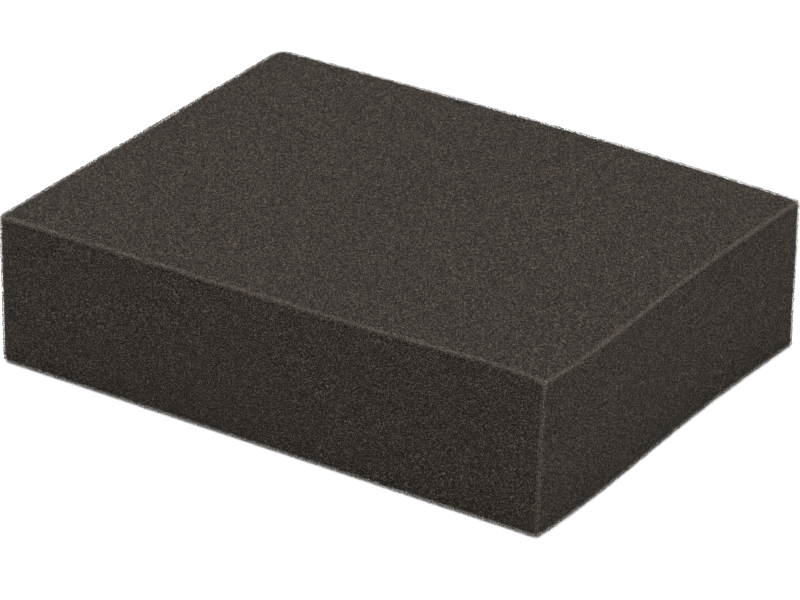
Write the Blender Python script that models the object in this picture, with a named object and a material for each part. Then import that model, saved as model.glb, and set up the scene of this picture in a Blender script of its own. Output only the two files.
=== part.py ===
"""Air filter element for a small engine: one knife-cut block of open-cell foam.

Units are metres, +Z is up. The block rests on its lower face, with the origin
under the middle of its bounding box. Its long side runs along X, its front face
looks along -Y and its right-hand end along +X. The sheet's two faces are flat and
parallel. The four cut faces lean and wander a little, as a blade does in foam.
"""
from math import pi, sin

import bmesh
import bpy
from mathutils import Vector

# Thickness of the sheet that the block was cut from.
HEIGHT = 0.0299

# Corners of the cut at each face of the sheet: front left, front right, back right
# and back left. The cut is about 115 mm long and 90.5 mm wide, close to 4 1/2 x 3 1/2 in.
LOWER_CORNERS = ((-0.0578, -0.0451), (0.0568, -0.0456), (0.0570, 0.0450), (-0.0578, 0.0454))
UPPER_CORNERS = ((-0.0578, -0.0459), (0.0567, -0.0446), (0.0570, 0.0446), (-0.0581, 0.0455))

# How the blade wandered along the front, right, back and left cuts, outwards from
# the straight line between two corners. A bow is one swell, a wave is out and then
# in. A skew below 1 moves them towards the start of the cut, above 1 to its end.
LOWER_WANDER = (
    {"bow": 0.0, "wave": 0.0, "skew": 1.0},
    {"bow": 0.0, "wave": 0.00055, "skew": 0.8},
    {"bow": 0.0008, "wave": 0.0, "skew": 1.0},
    {"bow": 0.0, "wave": 0.0, "skew": 1.0},
)
UPPER_WANDER = (
    {"bow": -0.0011, "wave": 0.0, "skew": 7.0},
    {"bow": 0.0, "wave": 0.0006, "skew": 0.7},
    {"bow": 0.0015, "wave": 0.0, "skew": 0.8},
    {"bow": 0.0, "wave": 0.0, "skew": 1.0},
)
CUT_STEPS = 24

# The left-hand corners are worn round, and the right-hand ones are crisp.
FRONT_LEFT_RADIUS = 0.0003
BACK_LEFT_RADIUS = 0.0026
LOWER_LEFT_WEAR = 0.0018
WEAR_STEPS = 5

FOAM_COLOUR = (0.045, 0.039, 0.034, 1.0)
FOAM_ROUGHNESS = 0.95


def clear_scene():
    """Remove every object, so that the block is the only one."""
    for item in list(bpy.data.objects):
        bpy.data.objects.remove(item)


def cut_line(start, end, bow, wave, skew):
    """Points of one cut, from its start corner up to but not including its end corner."""
    start = Vector(start)
    along = Vector(end) - start
    outward = Vector((along.y, -along.x)).normalized()
    points = []
    for step in range(CUT_STEPS):
        share = step / CUT_STEPS
        turn = pi * share**skew
        points.append(start + along * share + outward * (bow * sin(turn) + wave * sin(2.0 * turn)))
    return points


def outline(corners, wander):
    """The whole cut at one face of the sheet, anticlockwise from the front left corner."""
    points = []
    for side, blade in enumerate(wander):
        points += cut_line(corners[side], corners[(side + 1) % 4], **blade)
    return points


def centring_shift(points):
    """The move that puts the middle of the bounding box of these points on the origin."""
    xs = [point.x for point in points]
    ys = [point.y for point in points]
    return Vector((-0.5 * (min(xs) + max(xs)), -0.5 * (min(ys) + max(ys))))


def foam_material():
    """Charcoal foam, with no gloss at all."""
    material = bpy.data.materials.new("charcoal_foam")
    material.use_nodes = True
    shader = material.node_tree.nodes["Principled BSDF"]
    shader.inputs["Base Color"].default_value = FOAM_COLOUR
    shader.inputs["Roughness"].default_value = FOAM_ROUGHNESS
    shader.inputs["Metallic"].default_value = 0.0
    return material


def join_outlines(shape, lower, upper):
    """Build the closed block between two outlines, and return its lower and upper rings."""
    lower_ring = [shape.verts.new((point.x, point.y, 0.0)) for point in lower]
    upper_ring = [shape.verts.new((point.x, point.y, HEIGHT)) for point in upper]
    shape.faces.new(reversed(lower_ring))
    shape.faces.new(upper_ring)
    for here in range(len(lower_ring)):
        after = (here + 1) % len(lower_ring)
        shape.faces.new((lower_ring[here], lower_ring[after], upper_ring[after], upper_ring[here]))
    return lower_ring, upper_ring


def upright_edge(corner):
    """The edge that runs down from a corner of the upper face."""
    return max(corner.link_edges, key=lambda edge: abs(edge.verts[0].co.z - edge.verts[1].co.z))


def wear_corners(shape, lower_ring, upper_ring):
    """Round the lower front left corner and the two left-hand uprights."""
    front_left = 0
    back_left = 3 * CUT_STEPS
    bmesh.ops.bevel(
        shape,
        geom=[lower_ring[front_left]],
        offset=LOWER_LEFT_WEAR,
        segments=WEAR_STEPS,
        profile=0.5,
        affect="VERTICES",
    )
    for corner, radius in ((front_left, FRONT_LEFT_RADIUS), (back_left, BACK_LEFT_RADIUS)):
        bmesh.ops.bevel(
            shape,
            geom=[upright_edge(upper_ring[corner])],
            offset=radius,
            segments=WEAR_STEPS,
            profile=0.5,
            affect="EDGES",
        )


def make_foam_element():
    """Make the block as one closed solid."""
    lower = outline(LOWER_CORNERS, LOWER_WANDER)
    upper = outline(UPPER_CORNERS, UPPER_WANDER)
    shift = centring_shift(lower + upper)
    shape = bmesh.new()
    rings = join_outlines(shape, [point + shift for point in lower], [point + shift for point in upper])
    wear_corners(shape, *rings)
    bmesh.ops.recalc_face_normals(shape, faces=shape.faces)
    mesh = bpy.data.meshes.new("foam_element")
    shape.to_mesh(mesh)
    shape.free()
    mesh.materials.append(foam_material())
    element = bpy.data.objects.new("foam_element", mesh)
    bpy.context.scene.collection.objects.link(element)
    return element


clear_scene()
make_foam_element()
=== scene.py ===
"""Foam air-filter element: the looks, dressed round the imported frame.

The block's size and place come from its CAD solid. The knife-cut block is
copied, remeshed finely enough to carry the foam's own cells, and its cells
are opened as real pits. A lace of thin struts stands along its edges. The
finish reads the same cells as the pits, so that colour and shape agree.
"""
import logging
from dataclasses import dataclass, field
from math import cos, pi, radians, sin
from typing import Any

import bpy
import numpy as np
from mathutils import Euler, Matrix, Vector
from mathutils.kdtree import KDTree


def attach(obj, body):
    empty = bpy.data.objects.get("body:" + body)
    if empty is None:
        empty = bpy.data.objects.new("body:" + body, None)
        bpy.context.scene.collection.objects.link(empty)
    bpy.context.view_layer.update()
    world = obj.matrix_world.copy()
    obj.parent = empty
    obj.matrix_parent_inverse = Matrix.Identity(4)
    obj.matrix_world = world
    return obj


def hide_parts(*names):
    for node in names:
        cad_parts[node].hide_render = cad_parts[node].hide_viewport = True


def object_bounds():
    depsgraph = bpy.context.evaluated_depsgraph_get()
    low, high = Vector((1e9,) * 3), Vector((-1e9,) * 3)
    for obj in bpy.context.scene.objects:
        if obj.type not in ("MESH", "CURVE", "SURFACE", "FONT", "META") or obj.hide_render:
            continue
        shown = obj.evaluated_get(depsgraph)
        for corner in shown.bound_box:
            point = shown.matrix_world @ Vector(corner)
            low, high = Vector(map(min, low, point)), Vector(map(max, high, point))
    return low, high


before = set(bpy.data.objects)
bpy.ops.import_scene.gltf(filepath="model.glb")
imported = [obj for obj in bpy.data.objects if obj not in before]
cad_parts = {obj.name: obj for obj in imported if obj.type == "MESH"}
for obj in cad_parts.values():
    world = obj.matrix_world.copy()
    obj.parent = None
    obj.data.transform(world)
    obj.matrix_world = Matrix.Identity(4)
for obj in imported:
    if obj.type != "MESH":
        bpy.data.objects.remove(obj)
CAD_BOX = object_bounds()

LOG = logging.getLogger("foam_element")
MM = 0.001

# Names of the attributes that the block's mesh carries for its finish.
CUT_PLACE = "cut_place"  # where a point lay before its cell was opened, metres
# How near a point lies to a sharp edge. It draws the skin back under the lace, and the finish paints
# highlight with it: struts near an edge come out lighter, for light that reaches them from two sides.
EDGE_NEARNESS = "edge_nearness"  # 0 on the flat of a face, 1 on a sharp edge
LOOSE = "loose"  # 1 on a strut that stands free of the skin, 0 on the skin

# The table lies this far below the block's lowest point, so that no two faces share a plane.
TABLE_GAP = 0.2 * MM

# The lace's joints lie at quarters of its repeating cube.
QUARTERS = 4

# Keeps a length above nothing, so that it can be divided by.
TINY = 1e-12


def linear(hex_colour: str) -> tuple[float, float, float, float]:
    """Turn an sRGB hex colour into linear RGBA.

    Args:
        hex_colour: Six hex digits, such as "4a4642".

    Returns:
        Linear red, green, blue and an alpha of 1.
    """
    channels = []
    for start in (0, 2, 4):
        value = int(hex_colour[start : start + 2], 16) / 255.0
        channels.append(value / 12.92 if value <= 0.04045 else ((value + 0.055) / 1.055) ** 2.4)
    return (channels[0], channels[1], channels[2], 1.0)


def add_node(
    tree: bpy.types.NodeTree,
    kind: str,
    settings: dict[str, Any] | None = None,
    inputs: dict[str | int, Any] | None = None,
) -> bpy.types.Node:
    """Add one node to a tree, set it up and link it.

    Args:
        tree: The shader or geometry tree that gets the node.
        kind: Blender's type name for the node.
        settings: Values for the node's own properties.
        inputs: For each input, by name or number, a value or the output that feeds it.

    Returns:
        The new node.
    """
    node = tree.nodes.new(kind)
    for name, value in (settings or {}).items():
        setattr(node, name, value)
    for key, value in (inputs or {}).items():
        if isinstance(value, bpy.types.NodeSocket):
            tree.links.new(value, node.inputs[key])
        else:
            node.inputs[key].default_value = value
    return node


def make_only_selection(thing: bpy.types.Object) -> None:
    """Deselect everything else, so that an operator acts on this object only."""
    bpy.ops.object.select_all(action="DESELECT")
    thing.select_set(True)
    bpy.context.view_layer.objects.active = thing


@dataclass(frozen=True)
class CellPattern:
    """The cells of the foam, as random polyhedra packed in space.

    The blade leaves each one cut at a different height, so the openings come
    out in all sizes, as they do on real foam. A pitch of 0.39 mm is a fine
    filter foam, of about 65 pores per inch.

    Attributes:
        pitch: Mean distance between cells.
        randomness: 0 for even cells, 1 for wholly uneven ones.
        turn: How the pattern is turned against the block, so that no row of cells lines up.
        strut_share: Distance from a cell's wall, in pitches, up to which it is all strut.
        floor_share: Distance from a cell's wall, in pitches, from which it is all floor.
        pit_depth: Depth of an open cell.
    """

    pitch: float = 0.39 * MM
    randomness: float = 1.0
    turn: tuple[float, float, float] = (0.7, 0.5, 0.3)
    strut_share: float = 0.01
    floor_share: float = 0.15
    pit_depth: float = 0.20 * MM

    def openness(self, tree: bpy.types.NodeTree, place: bpy.types.NodeSocket) -> bpy.types.NodeSocket:
        """How far into an open cell a place lies.

        Args:
            tree: The shader or geometry tree to add to.
            place: Socket that gives the place, in metres.

        Returns:
            The socket with 0 on a strut and 1 on the floor of an open cell.
        """
        turned = add_node(
            tree,
            "ShaderNodeVectorRotate",
            {"rotation_type": "EULER_XYZ"},
            {"Vector": place, "Rotation": self.turn},
        )
        cells = add_node(
            tree,
            "ShaderNodeTexVoronoi",
            {"feature": "DISTANCE_TO_EDGE", "voronoi_dimensions": "3D"},
            {"Vector": turned.outputs["Vector"], "Scale": 1.0 / self.pitch, "Randomness": self.randomness},
        )
        ramp = add_node(
            tree,
            "ShaderNodeMapRange",
            {"interpolation_type": "SMOOTHSTEP"},
            {
                "Value": cells.outputs["Distance"],
                "From Min": self.strut_share,
                "From Max": self.floor_share,
            },
        )
        return ramp.outputs["Result"]


@dataclass(frozen=True)
class CharcoalFoam:
    """Reticulated polyurethane foam, dyed charcoal and cut with a blade.

    It is matte: thin struts catch the light and the open cells between them
    swallow it, so it looks like fine grain, lighter along each cut edge where
    light reaches the struts from two sides. The finish paints this light and
    shade into its colour: painted shade in the open cells, painted highlight on
    the edge struts and painted glints along the struts.

    Attributes:
        cells: The pattern of the cells, the same that the pits follow.
        strut_hex: Dye of a strut on the flat of a face.
        pore_shade_hex: Painted shade at the bottom of a cell, where little light comes back.
        edge_highlight_hex: A strut on an edge, lighter as painted highlight, for light that reaches edge
            struts from two sides.
        glint_pitch: Spacing of the small painted glints along the struts.
        glint_depth: How much lighter or darker a painted glint makes a strut, as a share.
        glint_range: The part of the noise that is spread over all the painted glints.
        refraction: Index of refraction of polyurethane.
        shine: How strong its mirror gleam is, weak on so rough a surface.
        strut_roughness: Roughness of a strut.
        pore_roughness: Roughness at the bottom of a cell.
        bump_height: Height of the unevenness that the glints give a strut.
    """

    cells: CellPattern
    strut_hex: str = "3b332b"
    pore_shade_hex: str = "0b0a08"
    edge_highlight_hex: str = "69615a"
    glint_pitch: float = 0.24 * MM
    glint_depth: float = 1.0
    glint_range: tuple[float, float] = (0.3, 0.7)
    refraction: float = 1.45
    shine: float = 0.25
    strut_roughness: float = 0.86
    pore_roughness: float = 0.98
    bump_height: float = 0.03 * MM

    def material(self) -> bpy.types.Material:
        """Build the foam's material.

        Returns:
            The material, which reads the block's own attributes.
        """
        finish = bpy.data.materials.new("charcoal_reticulated_foam")
        finish.use_nodes = True
        tree = finish.node_tree
        shader = tree.nodes["Principled BSDF"]
        shader.inputs["IOR"].default_value = self.refraction
        shader.inputs["Specular IOR Level"].default_value = self.shine
        place = add_node(tree, "ShaderNodeAttribute", {"attribute_name": CUT_PLACE}).outputs["Vector"]
        nearness = add_node(tree, "ShaderNodeAttribute", {"attribute_name": EDGE_NEARNESS}).outputs["Fac"]
        loose = add_node(tree, "ShaderNodeAttribute", {"attribute_name": LOOSE}).outputs["Fac"]
        shade = add_node(
            tree,
            "ShaderNodeMath",
            {"operation": "SUBTRACT", "use_clamp": True},
            {0: self.cells.openness(tree, place), 1: loose},
        )
        # Painted highlight: near a sharp edge a strut takes the lighter edge colour, for light that reaches
        # edge struts from two sides.
        strut = add_node(
            tree,
            "ShaderNodeMix",
            {"data_type": "RGBA"},
            {0: nearness, 6: linear(self.strut_hex), 7: linear(self.edge_highlight_hex)},
        )
        # Painted glints: a noise makes each strut lighter or darker at random, for light caught on its
        # uneven surface. The same noise drives the bump.
        glint_noise = add_node(
            tree,
            "ShaderNodeTexNoise",
            {"noise_dimensions": "3D"},
            {"Vector": place, "Scale": 1.0 / self.glint_pitch, "Detail": 0.0},
        )
        glint = add_node(
            tree,
            "ShaderNodeMapRange",
            {},
            {
                "Value": glint_noise.outputs["Fac"],
                "From Min": self.glint_range[0],
                "From Max": self.glint_range[1],
                "To Min": 1.0 - self.glint_depth,
                "To Max": 1.0 + self.glint_depth,
            },
        )
        lit_strut = add_node(
            tree,
            "ShaderNodeVectorMath",
            {"operation": "SCALE"},
            {0: strut.outputs[2], "Scale": glint.outputs["Result"]},
        )
        # Painted shade: the deeper a place lies in an open cell, the nearer its colour comes to the dark
        # pore colour, for light that does not come back out of the foam.
        colour = add_node(
            tree,
            "ShaderNodeMix",
            {"data_type": "RGBA"},
            {0: shade.outputs["Value"], 6: lit_strut.outputs["Vector"], 7: linear(self.pore_shade_hex)},
        )
        roughness = add_node(
            tree,
            "ShaderNodeMapRange",
            {},
            {
                "Value": shade.outputs["Value"],
                "To Min": self.strut_roughness,
                "To Max": self.pore_roughness,
            },
        )
        bump = add_node(
            tree,
            "ShaderNodeBump",
            {},
            {"Strength": 1.0, "Distance": self.bump_height, "Height": glint_noise.outputs["Fac"]},
        )
        tree.links.new(colour.outputs[2], shader.inputs["Base Color"])
        tree.links.new(roughness.outputs["Result"], shader.inputs["Roughness"])
        tree.links.new(bump.outputs["Normal"], shader.inputs["Normal"])
        return finish


@dataclass(frozen=True)
class EdgeLace:
    """The open network of struts that stands along the block's sharp edges.

    Where two cuts meet, the cells have nothing behind them, so the edge is a
    thin lace that light passes through, not a hard line. Four struts meet at
    each joint, as they do in real foam. The network is laid out on a repeating
    cube, with joints at whole quarters of its side, and then shaken.

    Attributes:
        cube: Side of the repeating cube.
        stray: Width of the range that a joint strays in, in quarters of the cube.
        turn: How the cubes are turned against the block, so that they don't line up.
        strut: Width across a strut.
        reach: How far the skin is drawn back at a sharp edge, which is the lace's depth.
        root: How far inside the skin an end may lie and still count as clear of it.
        least_nearness: The edge nearness below which a point counts as on the flat of a face.
        layers: How deep below the outline the cubes are looked for, as shares of reach.
        shake_keys: Numbers that turn a joint's whole-number place into its own shake.
        shake_gain: Large enough that neighbouring joints shake differently.
    """

    cube: float = 0.50 * MM
    stray: float = 1.5
    turn: tuple[float, float, float] = (0.4, 0.9, 0.2)
    strut: float = 0.072 * MM
    reach: float = 1.05 * MM
    root: float = 0.05 * MM
    least_nearness: float = 0.15
    layers: tuple[float, ...] = (0.0, 0.25, 0.5, 0.75, 1.0)
    shake_keys: tuple[tuple[float, float, float], ...] = (
        (12.9898, 78.233, 37.719),
        (39.3461, 11.135, 83.155),
        (73.1562, 52.235, 9.151),
    )
    shake_gain: float = 43758.5453

    def spots_of(self, joints: np.ndarray) -> np.ndarray:
        """Find where joints lie.

        Args:
            joints: Whole-number coordinates, in quarters of the repeating cube.

        Returns:
            Their places in metres, each strayed from its even spacing.
        """
        shake = []
        for key in self.shake_keys:
            wave = np.sin(joints @ np.array(key)) * self.shake_gain
            shake.append(wave - np.floor(wave) - 0.5)
        strayed = joints + self.stray * np.array(shake).T
        return strayed * (self.cube / QUARTERS) @ np.array(Euler(self.turn).to_matrix()).T

    def struts_near(self, spots: np.ndarray, normals: np.ndarray, nearness: np.ndarray) -> np.ndarray:
        """List the struts of the network that pass near the edges.

        Args:
            spots: Points near the edges.
            normals: The way each point faces.
            nearness: How near each point lies to an edge.

        Returns:
            For each strut, the whole-number coordinates of its two joints.
        """
        turn = np.array(Euler(self.turn).to_matrix())
        cubes = []
        for share in self.layers:
            inside = spots - normals * (nearness * self.reach * share)[:, None]
            cubes.append(np.floor(inside @ turn / self.cube).astype(np.int64))
        cubes = np.unique(np.concatenate(cubes), axis=0)
        # A cube's own four joints, and the four arms that each of them sends out, in quarters.
        starts = np.array(((0, 0, 0), (0, 2, 2), (2, 0, 2), (2, 2, 0)))
        arms = np.array(((1, 1, 1), (1, -1, -1), (-1, 1, -1), (-1, -1, 1)))
        first = (QUARTERS * cubes[:, None, :] + starts).reshape(-1, 3)
        first = np.repeat(first, len(arms), axis=0)
        return np.stack((first, first + np.tile(arms, (len(first) // len(arms), 1))), axis=1)

    def grow_on(self, skin: bpy.types.Object) -> bpy.types.Object:
        """Grow the lace between the skin's cut outline and where the skin is drawn back to.

        Args:
            skin: The block's skin with its edges marked and its cells not yet opened.

        Returns:
            The lace, as an object of its own.
        """
        count = len(skin.data.vertices)
        spots, normals, nearness = np.empty(count * 3), np.empty(count * 3), np.empty(count)
        skin.data.vertices.foreach_get("co", spots)
        skin.data.vertex_normals.foreach_get("vector", normals)
        skin.data.attributes[EDGE_NEARNESS].data.foreach_get("value", nearness)
        near_edge = nearness > self.least_nearness
        spots, normals, nearness = spots.reshape(-1, 3)[near_edge], normals.reshape(-1, 3)[near_edge], nearness[near_edge]
        finder = KDTree(len(spots))
        for index, spot in enumerate(spots):
            finder.insert(spot, index)
        finder.balance()
        # Each joint takes its depth and its edge nearness from the nearest point of the skin near an edge.
        struts = self.struts_near(spots, normals, nearness)
        joints, which = np.unique(struts.reshape(-1, 3), axis=0, return_inverse=True)
        places = self.spots_of(joints)
        nearest = np.array([finder.find(place)[1] for place in places])
        depth = np.einsum("ij,ij->i", spots[nearest] - places, normals[nearest])
        aside = np.linalg.norm(spots[nearest] - places + normals[nearest] * -depth[:, None], axis=1)
        # The blade cut off what stood out of the block.
        places = places + normals[nearest] * np.minimum(depth, 0.0)[:, None]
        pair = which.reshape(-1, 2)
        # A strut stands if it has an end in the block, an end clear of the skin, and none far off.
        limit = nearness[nearest] * self.reach + self.root
        standing = (depth[pair].max(axis=1) > 0.0) & (depth[pair] < limit[pair]).any(axis=1)
        standing &= aside[pair].max(axis=1) < self.cube / 2.0
        return self.mesh_of(places[pair[standing]], nearness[nearest][pair[standing]])

    def mesh_of(self, ends: np.ndarray, nearness: np.ndarray) -> bpy.types.Object:
        """Make each strut a thin closed three-sided bar.

        Args:
            ends: The places of each strut's two ends.
            nearness: How near each of a strut's two ends lies to an edge.

        Returns:
            One object with every strut in it.
        """
        along = ends[:, 1] - ends[:, 0]
        along /= np.linalg.norm(along, axis=1)[:, None] + TINY
        odd_way = np.array((0.31, 0.52, 0.79))
        across = np.cross(along, odd_way)
        across /= np.linalg.norm(across, axis=1)[:, None] + TINY
        beside = np.cross(along, across)
        rings = []
        for end in (0, 1):
            for turn in (0.0, 2.0 * pi / 3.0, 4.0 * pi / 3.0):
                rings.append(ends[:, end] + self.strut / 2.0 * (across * cos(turn) + beside * sin(turn)))
        corners = np.stack(rings, axis=1)
        caps = ((0, 2, 1), (3, 4, 5))
        walls = ((0, 1, 4), (0, 4, 3), (1, 2, 5), (1, 5, 4), (2, 0, 3), (2, 3, 5))
        sides = np.array(caps + walls)
        faces = (6 * np.arange(len(ends))[:, None, None] + sides).reshape(-1, 3)
        mesh = bpy.data.meshes.new("edge_lace")
        mesh.from_pydata(corners.reshape(-1, 3).tolist(), [], faces.tolist())
        # The lace's struts carry their edge nearness too, so the finish paints the edge highlight on them.
        for name, kind, key, values in (
            (CUT_PLACE, "FLOAT_VECTOR", "vector", corners),
            (EDGE_NEARNESS, "FLOAT", "value", np.repeat(nearness, 3, axis=1)),
            (LOOSE, "FLOAT", "value", np.ones(len(ends) * 6)),
        ):
            mesh.attributes.new(name, kind, "POINT").data.foreach_set(key, values.ravel())
        lace = bpy.data.objects.new("edge_lace", mesh)
        bpy.context.scene.collection.objects.link(lace)
        return lace


@dataclass
class FoamBlock:
    """The filter element: one knife-cut block with its cells laid open.

    Attributes:
        node: The CAD node that the block stands for.
        cells: The pattern of its cells.
        lace: The struts along its edges.
        merge_within: Distance under which loose corners of the CAD mesh become one.
        grain: Side of one face of its skin.
        nearness_spread: How many steps of blurring spread the edge nearness out from an edge.
        edge_straightness: Length of the blurred normal at which a point counts as fully on an edge.
        piece: The finished object.
    """

    node: str
    cells: CellPattern
    lace: EdgeLace
    merge_within: float = 0.01 * MM
    grain: float = 0.22 * MM
    nearness_spread: int = 14
    edge_straightness: float = 0.75
    piece: bpy.types.Object = field(init=False)

    def copy_block(self) -> None:
        """Copy the CAD solid's mesh and merge its loose triangles into one skin."""
        self.piece = bpy.data.objects.new("cut_foam_block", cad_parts[self.node].data.copy())
        self.piece.data.name = "cut_foam_block"
        bpy.context.scene.collection.objects.link(self.piece)
        make_only_selection(self.piece)
        bpy.ops.object.mode_set(mode="EDIT")
        bpy.ops.mesh.select_all(action="SELECT")
        bpy.ops.mesh.remove_doubles(threshold=self.merge_within)
        bpy.ops.object.mode_set(mode="OBJECT")

    def make_fine_skin(self) -> None:
        """Remesh the block finely enough to hold its cells."""
        remesh = self.piece.modifiers.new("fine_skin", "REMESH")
        remesh.mode = "VOXEL"
        remesh.voxel_size = self.grain
        remesh.adaptivity = 0.0
        bpy.ops.object.modifier_apply(modifier=remesh.name)

    def mark_tree(self) -> bpy.types.NodeTree:
        """Build the geometry nodes that note where each point lies and how near an edge it is.

        Returns:
            The geometry node group.
        """
        tree = bpy.data.node_groups.new("mark_the_edges", "GeometryNodeTree")
        tree.interface.new_socket("Geometry", in_out="INPUT", socket_type="NodeSocketGeometry")
        tree.interface.new_socket("Geometry", in_out="OUTPUT", socket_type="NodeSocketGeometry")
        geometry = add_node(tree, "NodeGroupInput").outputs["Geometry"]
        place = add_node(tree, "GeometryNodeInputPosition").outputs["Position"]
        normal = add_node(tree, "GeometryNodeInputNormal").outputs["Normal"]
        spread = add_node(
            tree,
            "GeometryNodeBlurAttribute",
            {"data_type": "FLOAT_VECTOR"},
            {"Value": normal, "Iterations": self.nearness_spread},
        )
        straightness = add_node(
            tree,
            "ShaderNodeVectorMath",
            {"operation": "LENGTH"},
            {0: spread.outputs["Value"]},
        )
        nearness = add_node(
            tree,
            "ShaderNodeMapRange",
            {},
            {
                "Value": straightness.outputs["Value"],
                "From Min": 1.0,
                "From Max": self.edge_straightness,
            },
        )
        for name, kind, value in (
            (CUT_PLACE, "FLOAT_VECTOR", place),
            (EDGE_NEARNESS, "FLOAT", nearness.outputs["Result"]),
        ):
            store = add_node(
                tree,
                "GeometryNodeStoreNamedAttribute",
                {"data_type": kind, "domain": "POINT"},
                {"Geometry": geometry, "Name": name, "Value": value},
            )
            geometry = store.outputs["Geometry"]
        add_node(tree, "NodeGroupOutput", {}, {"Geometry": geometry})
        return tree

    def pit_tree(self) -> bpy.types.NodeTree:
        """Build the geometry nodes that open the cells and draw the skin back under the lace.

        Returns:
            The geometry node group.
        """
        tree = bpy.data.node_groups.new("open_the_cells", "GeometryNodeTree")
        tree.interface.new_socket("Geometry", in_out="INPUT", socket_type="NodeSocketGeometry")
        tree.interface.new_socket("Geometry", in_out="OUTPUT", socket_type="NodeSocketGeometry")
        geometry = add_node(tree, "NodeGroupInput").outputs["Geometry"]
        place = add_node(tree, "GeometryNodeInputPosition").outputs["Position"]
        normal = add_node(tree, "GeometryNodeInputNormal").outputs["Normal"]
        nearness = add_node(tree, "GeometryNodeInputNamedAttribute", {"data_type": "FLOAT"}, {"Name": EDGE_NEARNESS})
        recess = add_node(
            tree,
            "ShaderNodeMath",
            {"operation": "MULTIPLY"},
            {0: nearness.outputs["Attribute"], 1: self.lace.reach},
        )
        depth = add_node(
            tree,
            "ShaderNodeMath",
            {"operation": "MULTIPLY_ADD"},
            {0: self.cells.openness(tree, place), 1: self.cells.pit_depth, 2: recess.outputs["Value"]},
        )
        inward = add_node(
            tree,
            "ShaderNodeVectorMath",
            {"operation": "SCALE"},
            {0: normal, "Scale": depth.outputs["Value"]},
        )
        sunk = add_node(
            tree,
            "ShaderNodeVectorMath",
            {"operation": "SUBTRACT"},
            {0: place, 1: inward.outputs["Vector"]},
        )
        opened = add_node(
            tree,
            "GeometryNodeSetPosition",
            {},
            {"Geometry": geometry, "Position": sunk.outputs["Vector"]},
        )
        add_node(tree, "NodeGroupOutput", {}, {"Geometry": opened.outputs["Geometry"]})
        return tree

    def apply_tree(self, name: str, tree: bpy.types.NodeTree) -> None:
        """Run a geometry node group on the block and keep its result."""
        step = self.piece.modifiers.new(name, "NODES")
        step.node_group = tree
        make_only_selection(self.piece)
        bpy.ops.object.modifier_apply(modifier=step.name)

    def open_cells(self) -> None:
        """Grow the lace, then sink each opened cell into the skin behind it and join the two."""
        self.apply_tree("mark_edges", self.mark_tree())
        lace = self.lace.grow_on(self.piece)
        LOG.info("%s: %d triangles", lace.name, len(lace.data.polygons))
        self.apply_tree("open_cells", self.pit_tree())
        make_only_selection(self.piece)
        lace.select_set(True)
        bpy.ops.object.join()

    def dress(self, finish: bpy.types.Material) -> None:
        """Give the block its finish."""
        make_only_selection(self.piece)
        bpy.ops.object.shade_smooth()
        self.piece.data.materials.clear()
        self.piece.data.materials.append(finish)

    def declare(self) -> None:
        """Attach the block to the root body and hide the CAD node that it stands for."""
        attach(self.piece, "root")
        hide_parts(self.node)

    def build(self, finish: bpy.types.Material) -> bpy.types.Object:
        """Make the whole block.

        Args:
            finish: The foam's material.

        Returns:
            The finished object.
        """
        self.copy_block()
        self.make_fine_skin()
        self.open_cells()
        self.dress(finish)
        self.declare()
        return self.piece


@dataclass(frozen=True)
class Softbox:
    """One soft square lamp.

    Attributes:
        name: The lamp's name.
        offset: Where it hangs, from the middle of the block.
        width: Its side length.
        power: Its power in watts.
    """

    name: str
    offset: tuple[float, float, float]
    width: float
    power: float

    def hang(self, target: Vector) -> None:
        """Hang the lamp and aim it at a target.

        Args:
            target: The middle of the block.
        """
        light = bpy.data.lights.new(self.name, "AREA")
        light.shape = "SQUARE"
        light.size = self.width
        light.energy = self.power
        lamp = bpy.data.objects.new(self.name, light)
        lamp.visible_camera = False
        offset = Vector(self.offset)
        turned = offset.to_track_quat("Z", "Y").to_matrix().to_4x4()
        lamp.matrix_world = Matrix.Translation(target + offset) @ turned
        bpy.context.scene.collection.objects.link(lamp)


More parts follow.
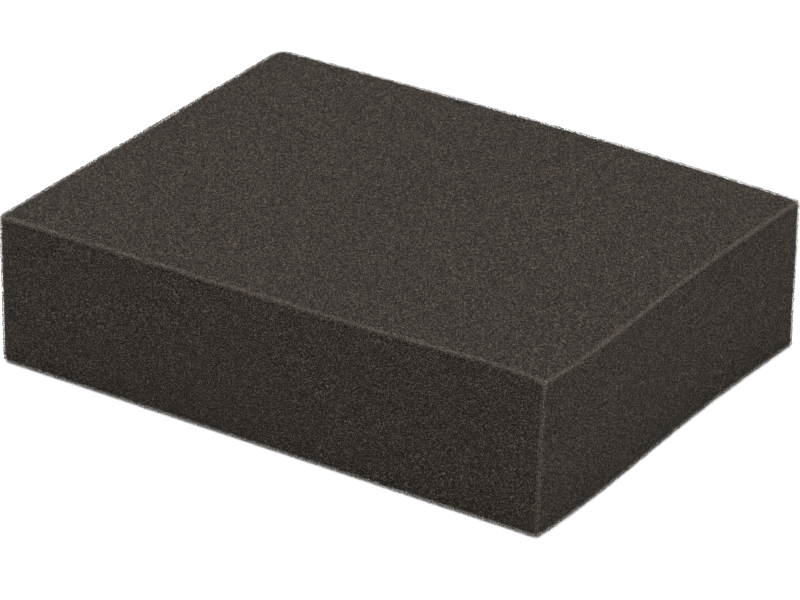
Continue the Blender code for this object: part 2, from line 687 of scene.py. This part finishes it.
@dataclass
class Studio:
    """A plain pale table and soft light.

    Attributes:
        table_size: Side of the table.
        table_hex: Its colour.
        table_roughness: How matte it is.
        table_glow: Light it gives off, so that the block throws hardly any shadow on it.
        sky_strength: Strength of the even light all round.
        softboxes: The lamps: one above, and a weak one off the right-hand end.
    """

    table_size: float = 6.0
    table_hex: str = "f6f6f6"
    table_roughness: float = 0.9
    table_glow: float = 0.4
    sky_strength: float = 1.0
    softboxes: tuple[Softbox, ...] = (
        Softbox("top_softbox", (-0.2, 0.1, 0.8), 0.7, 10.0),
        Softbox("end_softbox", (0.42, -0.18, 0.12), 0.12, 0.22),
    )

    def lay_table(self, height: float) -> None:
        """Lay the pale table under the block.

        Args:
            height: Height of the table's top.
        """
        bpy.ops.object.select_all(action="DESELECT")
        bpy.ops.mesh.primitive_plane_add(size=self.table_size, location=(0.0, 0.0, height))
        table = bpy.context.object
        table.name = "pale_table"
        paper = bpy.data.materials.new("matte_white_paper")
        paper.use_nodes = True
        shader = paper.node_tree.nodes["Principled BSDF"]
        shader.inputs["Base Color"].default_value = linear(self.table_hex)
        shader.inputs["Roughness"].default_value = self.table_roughness
        shader.inputs["Emission Color"].default_value = linear(self.table_hex)
        shader.inputs["Emission Strength"].default_value = self.table_glow
        table.data.materials.append(paper)

    def light_sky(self) -> None:
        """Fill the room with even light."""
        world = bpy.data.worlds.new("pale_room")
        bpy.context.scene.world = world
        world.use_nodes = True
        background = world.node_tree.nodes["Background"]
        background.inputs["Color"].default_value = linear("ffffff")
        background.inputs["Strength"].default_value = self.sky_strength

    def hang_softboxes(self, target: Vector) -> None:
        """Hang every lamp, aimed at the middle of the block."""
        for softbox in self.softboxes:
            softbox.hang(target)


@dataclass
class ProductCamera:
    """A long lens, a step back from the table's right-hand front corner.

    Angles are in degrees, the distance and the aim in metres, the lens and its
    sensor in millimetres.
    """

    azimuth: float = 32.04
    elevation: float = 26.51
    roll: float = 1.6
    distance: float = 0.970
    lens: float = 241.2
    sensor: float = 36.0
    aim: Vector = field(default_factory=lambda: Vector((0.00405, -0.00752, 0.01495)))

    def place(self) -> None:
        """Set the camera up and make it the scene's own."""
        turn, rise, tilt = radians(self.azimuth), radians(self.elevation), radians(self.roll)
        back = Vector((sin(turn) * cos(rise), -cos(turn) * cos(rise), sin(rise)))
        level = Vector((cos(turn), sin(turn), 0.0))
        upright = back.cross(level)
        right = level * cos(tilt) + upright * sin(tilt)
        up = upright * cos(tilt) - level * sin(tilt)
        turned = Matrix((right, up, back)).transposed().to_4x4()
        data = bpy.data.cameras.new("product_camera")
        data.lens = self.lens
        data.sensor_width = self.sensor
        data.clip_start = 0.01
        data.clip_end = 20.0
        camera = bpy.data.objects.new("product_camera", data)
        camera.matrix_world = Matrix.Translation(self.aim + back * self.distance) @ turned
        bpy.context.scene.collection.objects.link(camera)
        bpy.context.scene.camera = camera


def main() -> None:
    """Build the block and its studio in order, and report each piece."""
    logging.basicConfig(level=logging.INFO, format="%(message)s")
    low, high = CAD_BOX
    middle = (low + high) / 2.0
    cells = CellPattern()
    block = FoamBlock("foam_element", cells, EdgeLace())
    piece = block.build(CharcoalFoam(cells).material())
    LOG.info("%s: %d faces", piece.name, len(piece.data.polygons))
    studio = Studio()
    studio.lay_table(low.z - TABLE_GAP)
    studio.light_sky()
    studio.hang_softboxes(middle)
    ProductCamera().place()
    bpy.context.scene.view_settings.view_transform = "Standard"


if __name__ == "__main__":
    main()
